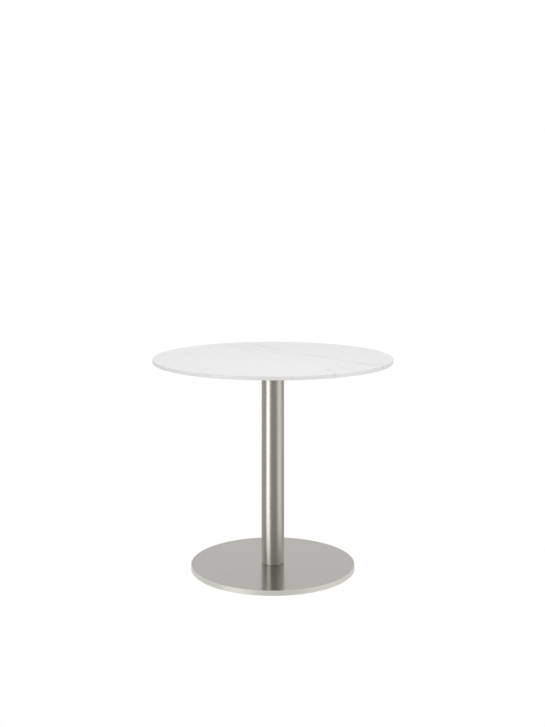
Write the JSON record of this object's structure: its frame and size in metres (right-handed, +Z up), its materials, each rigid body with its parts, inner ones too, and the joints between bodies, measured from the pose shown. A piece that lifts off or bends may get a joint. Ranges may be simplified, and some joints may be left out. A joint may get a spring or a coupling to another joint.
{
  "type": "bistro table",
  "caption": "Round pedestal bistro table: a thin stone top with faint veins on a brushed steel column and a flat weighted disc base with levelling glides.",
  "frame": {"origin": "on the floor under the middle of the column, at the bottom of the glide pads", "axes": "+Z up along the column; +X and +Y along arms of the top spider; the glides stand on the diagonals"},
  "size_m": [0.8499, 0.85, 0.75],
  "materials": {
    "stone_top": "honed white marble-effect slab with faint grey diagonal veins that run on over the edge",
    "brushed_column": "satin brushed stainless tube, warm nickel tone, grain round the tube",
    "brushed_cover": "satin brushed stainless sheet, warm nickel tone, grain round the disc",
    "coated_casting": "fine-textured black powder coat over a casting",
    "painted_iron": "rough cast iron under thin black paint",
    "zinc_steel": "bright zinc-plated steel hardware",
    "brass_insert": "machined brass",
    "rubber": "matt black rubber",
    "nylon_pad": "matt black moulded nylon"
  },
  "bodies": {
    "root": {"tabletop": "stone_top", "tabletop_inserts": "brass_insert", "spider_pads": "rubber", "top_spider": "coated_casting", "top_screws": "zinc_steel", "top_screw_washers": "zinc_steel", "tie_rod": "zinc_steel", "rod_jam_nut": "zinc_steel", "column_tube": "brushed_column", "column_top_gasket": "rubber", "column_foot_gasket": "rubber", "base_cover": "brushed_cover", "base_weight": "painted_iron", "rod_washer": "zinc_steel", "rod_spring_washer": "zinc_steel", "rod_nut": "zinc_steel"},
    "pad_1": {"glide_pad_1": "nylon_pad"},
    "stud_1": {"glide_stud_1": "zinc_steel"},
    "pad_2": {"glide_pad_2": "nylon_pad"},
    "stud_2": {"glide_stud_2": "zinc_steel"},
    "pad_3": {"glide_pad_3": "nylon_pad"},
    "stud_3": {"glide_stud_3": "zinc_steel"},
    "pad_4": {"glide_pad_4": "nylon_pad"},
    "stud_4": {"glide_stud_4": "zinc_steel"}
  },
  "joints": [
    {"name": "glide_1_extend", "type": "slide", "parent": "root", "child": "pad_1", "axis": [0, 0, -1], "range_m": [0, 0.005]},
    {"name": "glide_1_turn", "type": "hinge", "parent": "pad_1", "child": "stud_1", "pos_m": [0.16971, 0.16971, 0], "axis": [0, 0, -1], "range_deg": [0, 1440]},
    {"name": "glide_2_extend", "type": "slide", "parent": "root", "child": "pad_2", "axis": [0, 0, -1], "range_m": [0, 0.005]},
    {"name": "glide_2_turn", "type": "hinge", "parent": "pad_2", "child": "stud_2", "pos_m": [-0.16971, 0.16971, 0], "axis": [0, 0, -1], "range_deg": [0, 1440]},
    {"name": "glide_3_extend", "type": "slide", "parent": "root", "child": "pad_3", "axis": [0, 0, -1], "range_m": [0, 0.005]},
    {"name": "glide_3_turn", "type": "hinge", "parent": "pad_3", "child": "stud_3", "pos_m": [-0.16971, -0.16971, 0], "axis": [0, 0, -1], "range_deg": [0, 1440]},
    {"name": "glide_4_extend", "type": "slide", "parent": "root", "child": "pad_4", "axis": [0, 0, -1], "range_m": [0, 0.005]},
    {"name": "glide_4_turn", "type": "hinge", "parent": "pad_4", "child": "stud_4", "pos_m": [0.16971, -0.16971, 0], "axis": [0, 0, -1], "range_deg": [0, 1440]}
  ],
  "couplings": [
    {"joint": "glide_1_turn", "follows": "glide_1_extend", "rad_per_m": 5026.5},
    {"joint": "glide_2_turn", "follows": "glide_2_extend", "rad_per_m": 5026.5},
    {"joint": "glide_3_turn", "follows": "glide_3_extend", "rad_per_m": 5026.5},
    {"joint": "glide_4_turn", "follows": "glide_4_extend", "rad_per_m": 5026.5}
  ]
}
